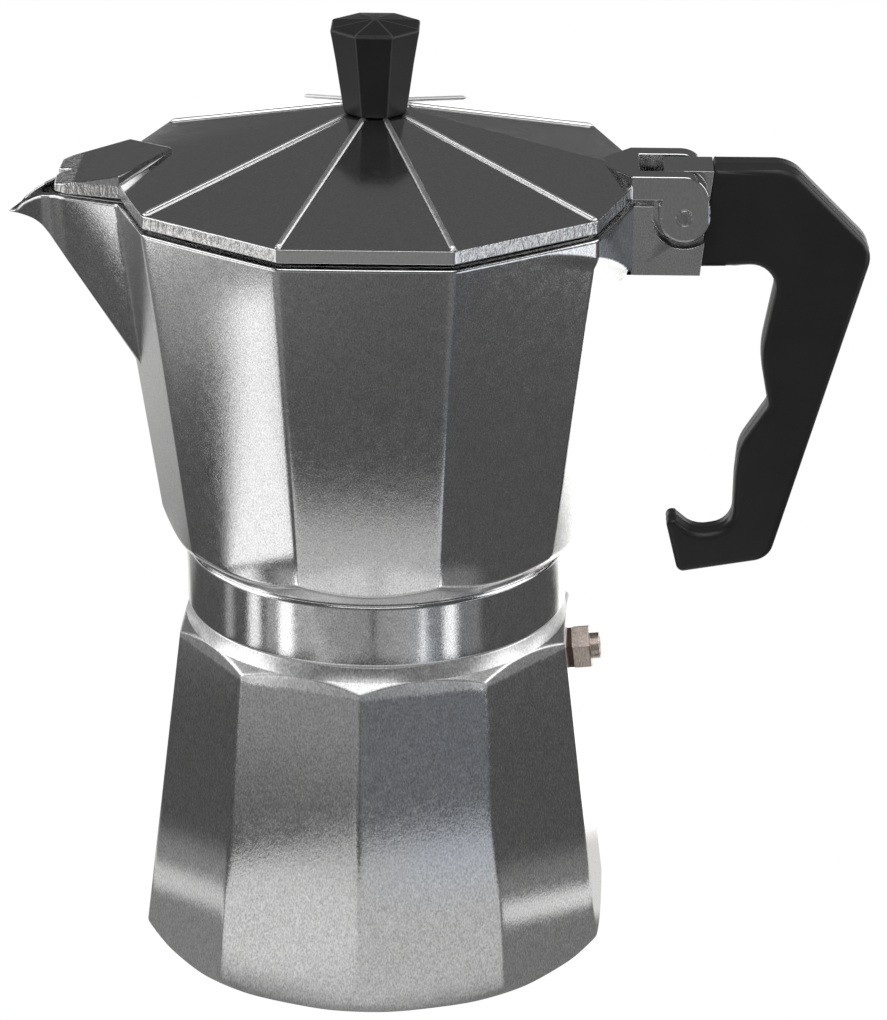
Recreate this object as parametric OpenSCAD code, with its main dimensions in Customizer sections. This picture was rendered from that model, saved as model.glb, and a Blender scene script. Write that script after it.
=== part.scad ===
// Moka pot: a ten-sided stove-top coffee maker in cast aluminium, with every piece it comes apart into.
// The origin is the middle of the boiler's base. +Z is up, +X is towards the handle, -X is the spout.

/* [Boiler] */
// Radius across the boiler's corners at the base
boiler_base_r = 50; // [45:0.5:60]
// Radius across the boiler's corners where its facets end
boiler_top_r = 41.5; // [40.5:0.5:44]
// Height at which the boiler's corners end
boiler_corner_h = 67.5; // [62:0.5:76]
// How far the facets stand turned from the chamber's when the thread is tight
boiler_yaw = -2.6; // [-18:0.1:18]
// Slope of the boiler's domed shoulder
shoulder_slope = 38; // [20:1:45]
// Thickness of the boiler's wall
boiler_wall = 3; // [2.5:0.1:4]
// Thickness of the boiler's floor
boiler_floor = 3; // [2:0.1:5]
// Height of the turned chamfer round the base
base_chamfer = 2; // [1:0.1:6]

/* [Thread] */
// Radius of the round waist that holds the inside thread
waist_r = 38.9; // [38.5:0.1:42]
// Height of the waist
waist_h = 13; // [13:0.5:18]
// Height of the narrow band that the waist meets on the boiler
band_h = 2.6; // [1:0.1:4]
// Height of the boiler's threaded neck above the band
neck_h = 10.5; // [9:0.1:10.5]
// Outer radius of the neck
neck_r = 35; // [34.5:0.1:35.2]
// Wall of the neck
neck_wall = 2.6; // [2:0.1:2.9]
// Clearance round the neck inside the waist
thread_gap = 0.4; // [0.3:0.05:0.6]

/* [Chamber] */
// Height of the chamber's rim
chamber_h = 159.6; // [150:1:190]
// Radius across the corners at the rim
chamber_top_r = 54.1; // [53:0.1:58]
// Radius across the corners at the lower end of the facets
chamber_low_r = 44; // [43:0.1:46]
// Thickness of the chamber's wall
chamber_wall = 2.4; // [2:0.1:3]
// Thickness of the chamber's floor
chamber_floor = 2.4; // [2:0.1:4]
// Height of the coffee column above the chamber's floor
column_h = 46; // [35:1:55]
// Outer radius of the column at its foot
column_r = 6.5; // [6:0.1:8]
// Radius of the column's bore
column_bore_r = 3.6; // [3:0.1:4]

/* [Spout] */
// How far the tip of the spout reaches from the axis
spout_tip_x = 72.6; // [70:0.1:78]
// How far the tip lies below the rim
spout_tip_drop = 5.4; // [4:0.1:8]
// Wall of the spout
spout_wall = 1.8; // [1.4:0.1:2.4]

/* [Lid] */
// Gap between the chamber's rim and the lid
lid_gap = 1; // [0.4:0.1:1.5]
// Height of the lid's straight edge
lid_edge_h = 2.8; // [2:0.1:4]
// Radius across the lid's corners
lid_r = 53.9; // [52:0.1:56]
// Height of the lid's top above its edge
lid_rise = 12; // [9:0.5:16]
// Thickness of the lid
lid_t = 2; // [1.6:0.1:2.6]
// Radius across the corners of the flat that the knob stands on
lid_flat_r = 8; // [7.6:0.1:9]
// Height of the ribs along the lid's corners
rib_h = 0.4; // [0.2:0.05:0.6]
// Width of the ribs along the lid's corners
rib_w = 1; // [0.6:0.1:1.4]

/* [Hinge] */
// Distance of the hinge pin from the axis
hinge_x = 61.1; // [60.5:0.1:62]
// Height of the hinge pin below the chamber's rim
hinge_drop = 2.5; // [2:0.1:3]
// Diameter of the hinge pin
pin_d = 3; // [2.5:0.1:3.4]
// Radial clearance of the pin in the fork
pin_gap = 0.05; // [0.02:0.01:0.1]
// Thickness of the chamber's hinge tongue
tongue_t = 10; // [8:0.1:10.6]
// Width of the slot in the lid's fork
fork_slot = 11.4; // [11.2:0.1:12]
// Overall width of the lid's fork and of the lug
fork_w = 20; // [18:0.1:22]

/* [Handle] */
// Thickness of the handle at its top
handle_top_t = 9.6; // [9:0.1:10.4]
// Thickness of the handle at its lower end
handle_low_t = 7; // [6:0.1:9]
// Thickness of the tang inside the handle
tang_t = 4; // [3:0.1:5]
// How far the tang reaches into the handle
tang_len = 11; // [9:0.5:13]

/* [Knob] */
// Radius across the knob's corners at its foot
knob_low_r = 6.7; // [6.2:0.1:7.4]
// Radius across the knob's corners at its top
knob_top_r = 9.5; // [8:0.1:12]
// Height of the knob
knob_h = 17.6; // [15:0.1:24]
// Height of the low point on the knob's top
knob_point_h = 1; // [0.4:0.1:2]

/* [Safety valve] */
// Height of the valve's middle on the boiler's face
valve_z = 61; // [58:0.5:62]
// Width of the valve's hexagon across its flats
valve_hex = 8.5; // [8:0.1:10]
// Length of the hexagon
valve_hex_l = 3.6; // [3:0.1:5]
// Diameter of the round end outside the hexagon
valve_end_d = 5.4; // [5.2:0.1:6]
// Length of the round end
valve_end_l = 1.9; // [1.5:0.1:3]
// Travel of the valve's plunger
valve_travel = 1; // [0.5:0.1:1.2]

/* [Funnel] */
// Radius of the coffee basket
basket_r = 31.8; // [30:0.1:32]
// Depth of the basket
basket_h = 23; // [20:0.5:24]
// Wall of the funnel's sheet
funnel_t = 0.8; // [0.6:0.1:1]
// Outer radius of the funnel's tube
tube_r = 5; // [4:0.1:6]
// Gap between the tube's end and the boiler's floor
tube_end_gap = 5; // [3:0.5:8]

/* [Hidden] */
$fn = 96;
eps = 0.01;
seat_gap = 0.05;          // between flat faces that rest on each other
sides = 10;               // facets round the boiler, the chamber and the lid
apothem = cos(180 / sides);

// Boiler
boiler_taper = (boiler_base_r - boiler_top_r) / boiler_corner_h;
band_r = waist_r - 0.4;
shoulder_top_z = boiler_corner_h + (boiler_top_r - band_r) * tan(shoulder_slope);
waist_z = shoulder_top_z + band_h;
neck_top_z = waist_z + neck_h;
neck_bore_r = neck_r - neck_wall;
face_tilt = atan(boiler_taper * apothem);

// Stack that the waist clamps: neck, funnel's flange, gasket, filter plate
flange_z = neck_top_z + seat_gap;
gasket_z = flange_z + funnel_t + seat_gap;
gasket_h = 2.4;
gasket_in_r = 28.6;
gasket_out_r = 34.4;
seat_z = gasket_z + gasket_h + seat_gap;
plate_r = 30;
plate_t = 0.8;
plenum_h = 2;
floor_z = seat_z + plenum_h + chamber_floor;
thread_bore_r = neck_r + thread_gap;

// Chamber
waist_top_z = waist_z + waist_h;
chamber_low_z = waist_top_z + chamber_low_r - waist_r;
chamber_taper = (chamber_top_r - chamber_low_r) / (chamber_h - chamber_low_z);

// Lid
lid_z = chamber_h + lid_gap;
lid_edge_z = lid_z + lid_edge_h;
lid_top_z = lid_edge_z + lid_rise;
lid_slope = lid_rise / (lid_r - lid_flat_r);
lid_inner_r = lid_r - lid_t / apothem;
lid_inner_z = lid_edge_z - lid_t * 0.7;
lid_inner_top_z = lid_inner_z + (lid_inner_r - lid_flat_r) * lid_slope;
washer_t = 0.8;
washer_z = lid_inner_top_z - washer_t - seat_gap;

// Hinge
hinge_z = chamber_h - hinge_drop;
fork_top_z = lid_edge_z + 2.1;
fork_end_r = 5.2;
ear_r = 4.9;
recess_r = fork_end_r + 1.2;
tongue_top_z = fork_top_z - 0.3;
lug_bottom_z = chamber_h - 14.4;
lug_top_x = 66.9;
lug_low_x = 64.4;
slot_root_x = 52.3;
tongue_x = 57;

// Knob
knob_z = lid_top_z + seat_gap;
insert_r = 3.2;
insert_h = 9;
screw_r = 2;

// Valve, in its own frame on the boiler's face with +X outwards
seal_t = 0.6;
shank_r = 3;
shank_l = 5.5;
valve_bore_r = 2;
stem_r = 0.8;
disc_r = 1.7;
disc_l = 1;
seat_bore_r = 1;
seat_l = 1.2;
retainer_l = 0.8;

// A closed polygon whose corners [x, y, r] are rounded by arcs of radius r
function unit(v) = v / norm(v);
function round_corner(a, b, c, r, steps = 6) =
    let (u = unit([a.x - b.x, a.y - b.y]), w = unit([c.x - b.x, c.y - b.y]),
         half = acos(u * w) / 2, m = unit(u + w),
         centre = [b.x, b.y] + m * r / sin(half),
         from = [b.x, b.y] + u * r / tan(half) - centre,
         to = [b.x, b.y] + w * r / tan(half) - centre,
         turn = acos(max(-1, min(1, unit(from) * unit(to)))))
    [for (i = [0:steps]) centre
        + (from * sin(turn * (1 - i / steps)) + to * sin(turn * i / steps)) / sin(turn)];
function rounded(p) = [for (i = [0:len(p) - 1])
    each (p[i][2] == 0 ? [[p[i].x, p[i].y]] :
        round_corner(p[(i + len(p) - 1) % len(p)], p[i], p[(i + 1) % len(p)], p[i][2]))];

// An outline drawn in the X-Z plane, given a thickness along Y
module plate_xz(points, width) {
    translate([0, width / 2, 0]) rotate([90, 0, 0]) linear_extrude(width) polygon(points);
}

// A solid whose sections are loops of equal length, joined in order
module loft(sections) {
    n = len(sections[0]);
    m = len(sections);
    polyhedron([for (s = sections) each s],
        concat([[for (i = [0:n - 1]) n - 1 - i]], [[for (i = [0:n - 1]) (m - 1) * n + i]],
            [for (k = [0:m - 2], i = [0:n - 1]) each let (a = k * n + i, b = k * n + (i + 1) % n)
                [[a, b, a + n], [b, b + n, a + n]]]));
}

// A ten-sided frustum with a corner on +X
module decagon(r1, r2, z1, z2) {
    translate([0, 0, z1]) cylinder(r1 = r1, r2 = r2, h = z2 - z1, $fn = sides);
}

// The frame that the safety valve is drawn in
module on_valve_face() {
    rotate([0, 0, boiler_yaw])
        translate([(boiler_base_r - boiler_taper * valve_z) * apothem, 0, valve_z])
            rotate([0, -face_tilt, 0]) rotate([0, 90, 0]) children();
}

module boiler() {
    inner_low = boiler_base_r * apothem - boiler_wall - boiler_taper * boiler_floor;
    inner_top_z = boiler_corner_h - 2;
    inner_top = (boiler_base_r - boiler_taper * inner_top_z) * apothem - boiler_wall;
    color("silver") rotate([0, 0, boiler_yaw]) difference() {
        union() {
            intersection() {
                rotate([0, 0, 180 / sides])
                    decagon(boiler_base_r, boiler_base_r - boiler_taper * waist_z, 0, waist_z);
                rotate_extrude() polygon([[0, 0], [boiler_base_r - base_chamfer, 0],
                    [boiler_base_r + 1, base_chamfer + 1], [boiler_base_r + 1, boiler_corner_h - 6],
                    [boiler_top_r + 6, boiler_corner_h - 6 * tan(shoulder_slope)],
                    [band_r, shoulder_top_z], [0, shoulder_top_z]]);
            }
            translate([0, 0, shoulder_top_z - 1])
                cylinder(r = band_r, h = waist_z - seat_gap - shoulder_top_z + 1);
            cylinder(r = neck_r, h = neck_top_z);
        }
        rotate_extrude() polygon([[0, boiler_floor], [inner_low - 3, boiler_floor],
            [inner_low, boiler_floor + 3],
            [inner_top, inner_top_z], [neck_bore_r, inner_top_z + 3], [neck_bore_r, neck_top_z + 1],
            [0, neck_top_z + 1]]);
        rotate([0, 0, -boiler_yaw]) on_valve_face() translate([0, 0, -boiler_wall - 4])
            cylinder(r = shank_r + 0.02, h = boiler_wall + 8);
    }
}

module valve_seal() {
    color("sienna") on_valve_face() difference() {
        cylinder(r = valve_hex / 2 - 0.1, h = seal_t);
        translate([0, 0, -1]) cylinder(r = shank_r + 0.02, h = seal_t + 2);
    }
}

module valve_body() {
    hex_z = seal_t + 0.02;
    end_z = hex_z + valve_hex_l + valve_end_l;
    color("rosybrown") on_valve_face() difference() {
        union() {
            translate([0, 0, hex_z]) rotate([0, 0, 8])
                cylinder(d = valve_hex / cos(30), h = valve_hex_l, $fn = 6);
            translate([0, 0, hex_z]) cylinder(d = valve_end_d, h = end_z - hex_z);
            translate([0, 0, hex_z - shank_l]) cylinder(r = shank_r, h = shank_l + 1);
        }
        translate([0, 0, hex_z - shank_l - 1]) cylinder(r = seat_bore_r, h = shank_l + 10);
        translate([0, 0, hex_z - shank_l + seat_l]) cylinder(r = valve_bore_r, h = shank_l + 10);
    }
}

// The plunger's disc sits on the seat at the inner end; its stem shows in the round end
module valve_plunger() {
    hex_z = seal_t + 0.02;
    disc_z = hex_z - shank_l + seat_l + seat_gap;
    end_z = hex_z + valve_hex_l + valve_end_l;
    color("goldenrod") on_valve_face() {
        translate([0, 0, disc_z]) cylinder(r = disc_r, h = disc_l);
        translate([0, 0, disc_z]) cylinder(r = stem_r, h = end_z - disc_z - 0.4);
    }
}

// A coil spring of round wire, closed round the stem
module valve_spring() {
    hex_z = seal_t + 0.02;
    wire_r = 0.22;
    coil_r = 1.4;
    turns = 5;
    low = hex_z - shank_l + seat_l + seat_gap + disc_l + valve_travel + 0.1 + wire_r;
    high = hex_z + valve_hex_l + valve_end_l - retainer_l - 0.1 - wire_r;
    steps = 14;
    color("lightgray") on_valve_face() loft([for (i = [0:turns * steps])
        let (a = i * 360 / steps, z = low + (high - low) * i / (turns * steps))
        [for (j = [0:5]) let (c = coil_r + wire_r * cos(j * 60))
            [c * cos(a), c * sin(a), z + wire_r * sin(j * 60)]]]);
}

module valve_retainer() {
    end_z = seal_t + 0.02 + valve_hex_l + valve_end_l;
    color("dimgray") on_valve_face() translate([0, 0, end_z - retainer_l]) difference() {
        cylinder(r = valve_bore_r - 0.01, h = retainer_l - 0.1);
        translate([0, 0, -1]) cylinder(r = stem_r + 0.1, h = retainer_l + 2);
    }
}

module funnel() {
    bottom_z = flange_z - basket_h;
    end_z = boiler_floor + tube_end_gap;
    color("gainsboro") rotate_extrude() polygon([
        [tube_r - funnel_t, end_z], [tube_r, end_z], [tube_r, bottom_z - 4], [basket_r - 4, bottom_z],
        [basket_r, bottom_z + 3], [basket_r, flange_z], [gasket_out_r - 0.4, flange_z],
        [gasket_out_r - 0.4, flange_z + funnel_t], [basket_r - funnel_t, flange_z + funnel_t],
        [basket_r - funnel_t, bottom_z + 3.3], [basket_r - 4.2, bottom_z + funnel_t],
        [tube_r - funnel_t, bottom_z - 4 + funnel_t]]);
}

// Rings of round holes in a thin disc
module hole_rings(rings, pitch, hole_r, h) {
    for (k = [1:rings], i = [0:6 * k - 1]) rotate([0, 0, i * 60 / k])
        translate([k * pitch, 0, -1]) cylinder(r = hole_r, h = h + 2, $fn = 16);
}

module funnel_sieve() {
    color("lightgray") translate([0, 0, flange_z - basket_h + 3.6]) difference() {
        cylinder(r = basket_r - funnel_t - 0.05, h = 0.6);
        hole_rings(4, 6, 0.8, 0.6);
    }
}

module gasket() {
    color("whitesmoke") translate([0, 0, gasket_z]) difference() {
        cylinder(r = gasket_out_r, h = gasket_h);
        translate([0, 0, -1]) cylinder(r = gasket_in_r, h = gasket_h + 2);
    }
}

module filter_plate() {
    color("lightgray") translate([0, 0, gasket_z + gasket_h + seat_gap]) difference() {
        cylinder(r = plate_r - 0.2, h = plate_t);
        hole_rings(4, 6, 0.7, plate_t);
    }
}

// Half width, rim height and keel height of the spout at a distance from the axis
function spout_half(x) = lookup(x, [[44, 15.2], [49.8, 12.9], [61.6, 8.4], [64.2, 6.6], [66.3, 4.6],
    [68.4, 3.4], [70.6, 2], [spout_tip_x, 0.5]]);
function spout_rim(x) = chamber_h - lookup(x, [[44, 0], [63.5, 0], [66.3, 0.8], [68.4, 1.8], [70.6, 3.3],
    [spout_tip_x, spout_tip_drop]]);
function spout_keel(x) = chamber_h - lookup(x, [[44, 43.2], [48.1, 36.8], [65, 10.3], [66.8, 8.1],
    [68.7, 6.8], [spout_tip_x, spout_tip_drop + 0.3]]);
spout_x = [44, 49.8, 55.5, 61.6, 64.2, 66.3, 68.4, 70.6, spout_tip_x];

module spout(inset, lift) {
    loft([for (x = spout_x) let (s = x == spout_tip_x ? x + sign(inset) * 2 : x,
            w = max(0.5, spout_half(x) - inset), keel = min(spout_rim(x) - 0.2, spout_keel(x) + inset * 1.6))
        [[-s, w, spout_rim(x) + lift], [-s, -w, spout_rim(x) + lift],
         [-s, -w * 0.4, keel], [-s, w * 0.4, keel]]]);
}

// The rim's corner on +X kept upright under the hinge, with a sloping underside
module lug_root() {
    intersection() {
        decagon(chamber_top_r, chamber_top_r, lug_bottom_z - 1, chamber_h);
        translate([chamber_top_r - 14, 0, 0]) rotate([90, 0, 90]) linear_extrude(15) polygon([
            [-32, chamber_h - 4.1], [-fork_w / 2, lug_bottom_z], [fork_w / 2, lug_bottom_z],
            [32, chamber_h - 4.1], [32, chamber_h], [-32, chamber_h]]);
    }
}

module lug() {
    difference() {
        union() {
            plate_xz([[48, lug_bottom_z], [lug_low_x, lug_bottom_z], [lug_top_x - 1, chamber_h],
                [48, chamber_h]], fork_w);
            plate_xz([[tongue_x, lug_bottom_z], [lug_low_x, lug_bottom_z], [lug_top_x, tongue_top_z],
                [tongue_x, tongue_top_z]], tongue_t);
            plate_xz([[60, chamber_h - 9.6], [lug_low_x + tang_len, chamber_h - 9.6],
                [lug_low_x + tang_len, chamber_h - 0.6], [60, chamber_h - 0.6]], tang_t);
        }
        for (s = [-1, 1]) translate([hinge_x, s * (tongue_t / 2 + 10), hinge_z])
            rotate([90, 0, 0]) cylinder(r = recess_r, h = 20, center = true);
        // Room over the shoulders for the fork
        for (s = [0, 1]) mirror([0, s, 0])
            translate([slot_root_x - 1.5, tongue_t / 2, chamber_h - 0.2]) cube([20, 20, 10]);
        translate([hinge_x, 0, hinge_z]) rotate([90, 0, 0])
            cylinder(d = pin_d + 0.02, h = fork_w + 4, center = true);
    }
}

module upper_chamber() {
    rim_in_r = chamber_top_r - chamber_wall / apothem;
    floor_in_r = chamber_low_r + (floor_z - chamber_low_z) * chamber_taper - chamber_wall / apothem;
    color("silver") difference() {
        union() {
            intersection() {
                decagon(chamber_top_r - (chamber_h - waist_top_z) * chamber_taper, chamber_top_r,
                    waist_top_z, chamber_h);
                rotate_extrude() polygon([[0, waist_top_z], [waist_r, waist_top_z],
                    [chamber_low_r + 2, waist_top_z + chamber_low_r - waist_r + 2],
                    [chamber_top_r + 1, chamber_h], [0, chamber_h]]);
            }
            translate([0, 0, waist_z]) cylinder(r = waist_r, h = waist_h + eps);
            difference() {
                union() {
                    spout(0, 0);
                    lug_root();
                }
                translate([0, 0, waist_top_z]) cylinder(r = waist_r, h = 40);
            }
            lug();
        }
        difference() {
            decagon(floor_in_r, rim_in_r + chamber_taper, floor_z, chamber_h + 1);
            cylinder(r = column_r + 2, h = floor_z + 4);
        }
        spout(spout_wall, 3);
        translate([0, 0, waist_z - 1]) cylinder(r = thread_bore_r, h = seat_z - waist_z + 1);
        translate([0, 0, waist_z]) cylinder(r = plate_r, h = seat_z - waist_z + plenum_h);
        cylinder(r = column_r - 1 + 0.02, h = chamber_h);
        translate([lug_low_x + 7, 0, lug_bottom_z - 1]) cylinder(r = 1.5, h = 12);
    }
}

// The column is pressed into the floor's boss; its closed top has two mouths
module coffee_column() {
    foot_z = seat_z + plenum_h;
    top_z = floor_z + column_h;
    shelf_z = floor_z + 4 + seat_gap;
    color("lightgray") difference() {
        rotate_extrude() polygon([[column_bore_r, foot_z], [column_r - 1, foot_z], [column_r - 1, shelf_z],
            [column_r, shelf_z], [column_r - 1, top_z - 1.5], [column_r - 2.5, top_z], [0, top_z],
            [0, top_z - 2], [column_bore_r, top_z - 2]]);
        translate([0, 0, top_z - 5]) rotate([90, 0, 0]) cylinder(r = 2.2, h = 4 * column_r, center = true);
    }
}

module hinge_pin() {
    color("gray") translate([hinge_x, 0, hinge_z]) rotate([90, 0, 0])
        cylinder(d = pin_d, h = fork_w + 0.2, center = true);
}

// Corners of the handle's outline, from the top by way of the outer edge: [x, height over the rim, radius]
handle_outline = [[lug_top_x + 0.2, 5.9, 0.6], [82.3, 6, 7], [99.2, -10.9, 6], [80.5, -77.8, 4.5],
    [61.9, -81, 1.6], [59, -69, 1.2], [61.2, -69.2, 1], [65.2, -72.4, 6], [72.9, -71, 4.6], [72.9, -60, 10],
    [78.9, -45, 2.6], [77.1, -33.5, 16], [80.9, -13.8, 5], [70, -14.4, 12], [lug_low_x + 0.2, -14.4, 0.6]];

module handle() {
    points = [for (p = rounded(handle_outline)) [p.x, chamber_h + p.y]];
    top = chamber_h + 6;
    low = chamber_h - 81;
    color("#222222") difference() {
        intersection() {
            plate_xz(points, handle_top_t);
            translate([50, 0, 0]) rotate([90, 0, 90]) linear_extrude(60) polygon([
                [-handle_low_t / 2, low - 1], [handle_low_t / 2, low - 1], [handle_top_t / 2, top + 1],
                [-handle_top_t / 2, top + 1]]);
        }
        plate_xz([[60, chamber_h - 9.7], [lug_low_x + tang_len + 0.3, chamber_h - 9.7],
            [lug_low_x + tang_len + 0.3, chamber_h - 0.5], [60, chamber_h - 0.5]], tang_t + 0.1);
        translate([lug_low_x + 7, 0, lug_bottom_z - 2]) cylinder(r = 1.6, h = 8);
        translate([lug_low_x + 7, 0, lug_bottom_z - 2]) cylinder(r = 2.9, h = 3.6);
    }
}

module handle_screw() {
    head_z = lug_bottom_z - 0.2;
    color("darkgray") translate([lug_low_x + 7, 0, head_z]) difference() {
        union() {
            cylinder(r = 2.7, h = 1.7);
            cylinder(r = 1.45, h = 11);
        }
        translate([-4, -0.4, -1]) cube([8, 0.8, 1.8]);
    }
}

// The plate over the spout: its edges, from the lid outwards, with a notch in its end
module spout_plate() {
    half = [[-40.5, 0], [-49.8, 12.7], [-61.1, 9.7], [-63.1, 8], [-63.3, 2.2], [-60.4, 0]];
    drop = 5.2 / 22.6;
    top_at_root = lid_edge_z + 4.2;
    intersection() {
        translate([0, 0, lid_z]) linear_extrude(10)
            polygon(concat(half, [for (i = [4:-1:1]) [half[i].x, -half[i].y]]));
        plate_xz([[-39, lid_z], [-66, lid_z], [-66, top_at_root - 26 * drop], [-39, top_at_root + drop]], 40);
    }
}

module lid_fork() {
    difference() {
        union() {
            // The plate and its two fingers, with round ends about the pin
            plate_xz(concat([[46, lid_z], [hinge_x - ear_r + 0.3, lid_z], [hinge_x - ear_r + 0.3, hinge_z]],
                [for (a = [180:12:360]) [hinge_x + ear_r * cos(a), hinge_z + ear_r * sin(a)]],
                [for (a = [0:9:90])
                    [hinge_x - 0.4 + fork_end_r * cos(a), fork_top_z - fork_end_r * (1 - sin(a))]],
                [[43, fork_top_z], [43, lid_edge_z - 1]]), fork_w);
            translate([0, 0, lid_z]) linear_extrude(fork_top_z - lid_z)
                polygon([[43.4, 0], [50.4, -fork_w / 2], [50.4, fork_w / 2]]);
        }
        // The corners outside the plate's slanted sides
        for (s = [0, 1]) mirror([0, s, 0]) translate([0, 0, lid_z - 10]) linear_extrude(30)
            polygon([[42, 0], [43.4, 0], [50.6, fork_w / 2], [50.6, 20], [42, 20]]);
    }
}

// The fork's slot round the tongue, with room for the tongue's corners as the lid opens
module lid_slot() {
    translate([slot_root_x, -fork_slot / 2, lid_z - 10]) cube([30, fork_slot, 30]);
    translate([hinge_x, 0, hinge_z]) rotate([90, 0, 0])
        cylinder(r = lug_top_x - hinge_x + 4.8, h = fork_slot, center = true);
}

module lid_shell() {
    difference() {
        union() {
            decagon(lid_r, lid_r, lid_z, lid_edge_z);
            decagon(lid_r, lid_flat_r, lid_edge_z - eps, lid_top_z);
            spout_plate();
        }
        decagon(lid_inner_r, lid_inner_r, lid_z - 1, lid_inner_z + eps);
        decagon(lid_inner_r, lid_flat_r, lid_inner_z, lid_inner_top_z);
    }
}

module lid_ribs() {
    run = lid_r - lid_flat_r;
    for (k = [0:sides - 1]) if (k != 5 && k != 0) rotate([0, 0, k * 360 / sides])
        plate_xz([[lid_flat_r - 0.5, lid_top_z - 0.6], [lid_r - 0.6, lid_edge_z - 0.4],
            [lid_r - 0.6, lid_edge_z + rib_h], [lid_flat_r - 0.5, lid_top_z + rib_h * 0.6]], rib_w);
}

module lid() {
    color("dimgray") difference() {
        union() {
            lid_shell();
            lid_ribs();
            lid_fork();
        }
        lid_slot();
        translate([0, 0, lid_top_z - 6]) cylinder(r = screw_r + 0.1, h = 10);
        translate([hinge_x, 0, hinge_z]) rotate([90, 0, 0])
            cylinder(d = pin_d + 2 * pin_gap, h = fork_w + 4, center = true);
    }
}

module knob() {
    color("#222222") difference() {
        translate([0, 0, knob_z]) rotate([0, 0, 22.5]) {
            cylinder(r1 = knob_low_r, r2 = knob_top_r, h = knob_h, $fn = 8);
            translate([0, 0, knob_h - eps]) cylinder(r1 = knob_top_r, r2 = 1, h = knob_point_h, $fn = 8);
        }
        translate([0, 0, knob_z - 1]) cylinder(r = insert_r, h = insert_h + 2);
    }
}

module knob_insert() {
    color("darkgoldenrod") translate([0, 0, knob_z]) difference() {
        cylinder(r = insert_r - 0.01, h = insert_h);
        translate([0, 0, -1]) cylinder(r = screw_r + 0.02, h = insert_h - 1);
    }
}

module knob_washer() {
    color("lightgray") translate([0, 0, washer_z]) difference() {
        cylinder(r = 4.4, h = washer_t);
        translate([0, 0, -1]) cylinder(r = screw_r + 0.1, h = washer_t + 2);
    }
}

module knob_screw() {
    color("darkgray") translate([0, 0, washer_z - seat_gap]) difference() {
        union() {
            translate([0, 0, -1.8]) cylinder(r = 3.6, h = 1.8);
            cylinder(r = screw_r, h = knob_z + insert_h - 3 - washer_z);
        }
        translate([-5, -0.5, -2.8]) cube([10, 1, 2]);
    }
}

boiler();
valve_seal();
valve_body();
valve_plunger();
valve_spring();
valve_retainer();
funnel();
funnel_sieve();
gasket();
filter_plate();
upper_chamber();
coffee_column();
hinge_pin();
handle();
handle_screw();
lid();
knob();
knob_insert();
knob_washer();
knob_screw();
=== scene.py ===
# %% [markdown]
# # A ten-sided moka pot
# The packed model gives every piece its place. This script keeps that frame as it is, puts finer
# surfaces over the pieces that show, and gives each of them the finish of the real one.
# Sizes are written in millimetres, as on a drawing, and turned into metres when a mesh is made.

# %% Load the frame
import bpy
import bmesh
import numpy as np
from mathutils import Matrix, Vector


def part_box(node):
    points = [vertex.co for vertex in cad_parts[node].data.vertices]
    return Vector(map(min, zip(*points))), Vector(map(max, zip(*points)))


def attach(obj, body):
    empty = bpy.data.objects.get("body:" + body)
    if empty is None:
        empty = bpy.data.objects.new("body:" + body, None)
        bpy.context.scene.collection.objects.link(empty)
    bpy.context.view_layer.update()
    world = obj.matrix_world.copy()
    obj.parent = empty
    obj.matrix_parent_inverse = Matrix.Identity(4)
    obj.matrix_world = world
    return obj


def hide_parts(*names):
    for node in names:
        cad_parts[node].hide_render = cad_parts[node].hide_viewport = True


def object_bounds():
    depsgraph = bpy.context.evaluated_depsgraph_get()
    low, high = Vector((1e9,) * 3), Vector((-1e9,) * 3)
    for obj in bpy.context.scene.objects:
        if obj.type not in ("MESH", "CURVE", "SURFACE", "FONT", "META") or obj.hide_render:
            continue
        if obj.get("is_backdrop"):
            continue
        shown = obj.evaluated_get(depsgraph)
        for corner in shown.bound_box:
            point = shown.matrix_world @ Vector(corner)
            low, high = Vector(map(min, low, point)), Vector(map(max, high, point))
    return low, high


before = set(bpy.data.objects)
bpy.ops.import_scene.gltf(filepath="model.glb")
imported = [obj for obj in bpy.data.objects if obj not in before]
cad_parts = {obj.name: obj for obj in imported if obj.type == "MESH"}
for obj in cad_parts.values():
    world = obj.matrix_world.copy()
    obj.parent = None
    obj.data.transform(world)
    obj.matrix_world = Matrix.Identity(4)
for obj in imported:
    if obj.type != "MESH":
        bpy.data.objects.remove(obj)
cad_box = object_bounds()
MM = 0.001
print("CAD nodes:", len(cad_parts))

# %% [markdown]
# ## Camera
# The camera comes first, because every later choice is judged through it. It looks down on the pot
# from a little above, with a long lens, so upright edges stay nearly parallel. Its axes are worked out
# from three turns: about the vertical, up or down, and round its own line of sight.

# %% Camera
SENSOR_MM, NEAR_M, FAR_M = 36.0, 0.05, 20.0


def turned_camera(place, yaw, pitch, roll, lens, shift):
    """A camera at a place in millimetres. Its line of sight is the Y axis turned by yaw about the
    vertical and raised by pitch. Its side direction is level; side and top then turn by roll: right is
    side times cos(roll) plus above times sin(roll), and up is above times cos(roll) minus side times
    sin(roll). The four axes make its matrix."""
    data = bpy.data.cameras.new("view_camera")
    camera = bpy.data.objects.new("view_camera", data)
    bpy.context.scene.collection.objects.link(camera)
    ahead = Vector((-np.sin(yaw) * np.cos(pitch), np.cos(yaw) * np.cos(pitch), np.sin(pitch)))
    side = Vector((np.cos(yaw), np.sin(yaw), 0.0))
    above = side.cross(ahead)
    right = side * np.cos(roll) + above * np.sin(roll)
    up = above * np.cos(roll) - side * np.sin(roll)
    axes = np.eye(4)
    axes[:3, :3] = np.stack([right, up, -ahead], axis=1)
    axes[:3, 3] = np.array(place) * MM
    camera.matrix_world = Matrix(axes.tolist())
    data.sensor_width, data.lens = SENSOR_MM, lens
    data.shift_x, data.shift_y = shift
    data.clip_start, data.clip_end = NEAR_M, FAR_M
    bpy.context.scene.camera = camera
    return camera


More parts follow.
